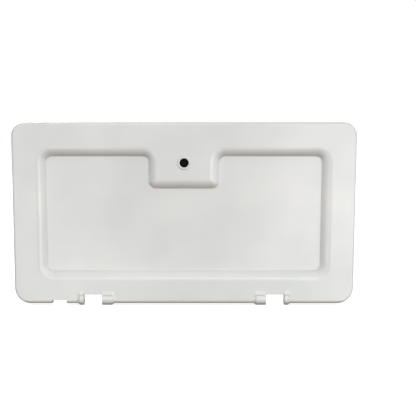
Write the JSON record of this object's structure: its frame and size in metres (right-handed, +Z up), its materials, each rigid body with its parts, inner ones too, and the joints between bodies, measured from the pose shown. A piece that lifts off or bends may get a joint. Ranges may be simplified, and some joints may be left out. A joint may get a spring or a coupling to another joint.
{
  "type": "battery box door",
  "caption": "White moulded plastic door for a caravan's battery box, with a sunk panel, a lock hole in a tab at the top, and pin hinges along its bottom edge.",
  "frame": {"origin": "middle of the bottom run of the rim's flat back, halfway between the two hinges", "axes": "+Z up the closed door, -Y out of its face towards the viewer, +X to the viewer's right along the hinge line"},
  "size_m": [0.42, 0.0143, 0.2263],
  "materials": {
    "white_plastic": "satin moulded plastic, fine smooth surface"
  },
  "bodies": {
    "root": {"door_panel": "white_plastic"}
  },
  "joints": []
}
